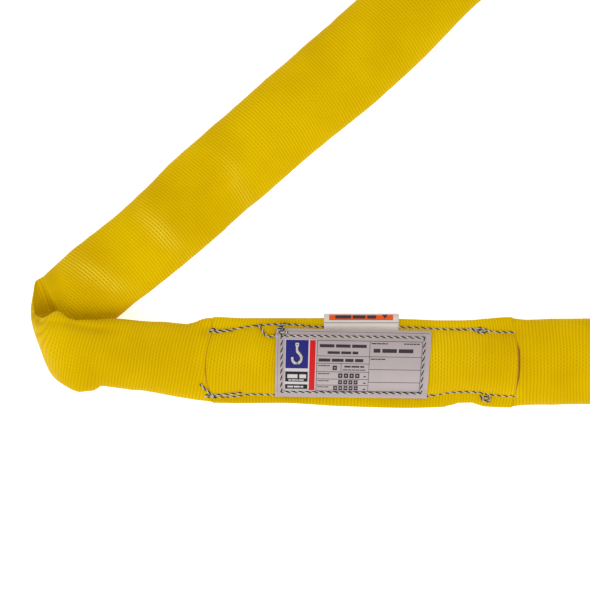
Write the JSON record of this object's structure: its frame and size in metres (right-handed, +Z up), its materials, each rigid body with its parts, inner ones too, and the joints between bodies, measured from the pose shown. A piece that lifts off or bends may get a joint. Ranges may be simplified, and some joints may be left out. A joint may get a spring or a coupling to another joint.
{
  "type": "round sling",
  "caption": "Endless round lifting sling: woven tubular jacket over a yarn core, with a sewn joint sleeve, label and warning tag.",
  "frame": {"origin": "on the floor under the middle of the laid-out sling's box", "axes": "+X along the labelled leg from the folded end towards the coil, +Y across it towards the other leg, +Z up from the floor"},
  "size_m": [0.9548, 0.524, 0.0452],
  "materials": {
    "jacket_cloth": "woven, matt",
    "sleeve_cloth": "woven, matt",
    "core_yarn": "twisted yarn",
    "label_vinyl": "satin",
    "tag_vinyl": "satin",
    "thread": "twisted two-ply"
  },
  "bodies": {
    "sling": {"jacket": "jacket_cloth", "core_outer_pair": "core_yarn", "core_middle_pair": "core_yarn", "core_inner_pair": "core_yarn", "core_centre": "core_yarn", "joint_sleeve": "sleeve_cloth", "label": "label_vinyl", "warning_tag": "tag_vinyl", "top_hem_stitch": "thread", "bottom_hem_stitch": "thread", "label_stitch": "thread", "backtack_top_left": "thread", "backtack_top_right": "thread", "backtack_bottom_left": "thread", "knot_bottom_right": "thread", "thread_tail": "thread", "thread_loop": "thread"},
    "flap": {"warning_flap": "tag_vinyl"}
  },
  "joints": [
    {"name": "flap_fold", "type": "hinge", "parent": "sling", "child": "flap", "pos_m": [-0.22516, -0.19455, 0.0098], "axis": [1, 0, 0], "range_deg": [0, 180]}
  ]
}
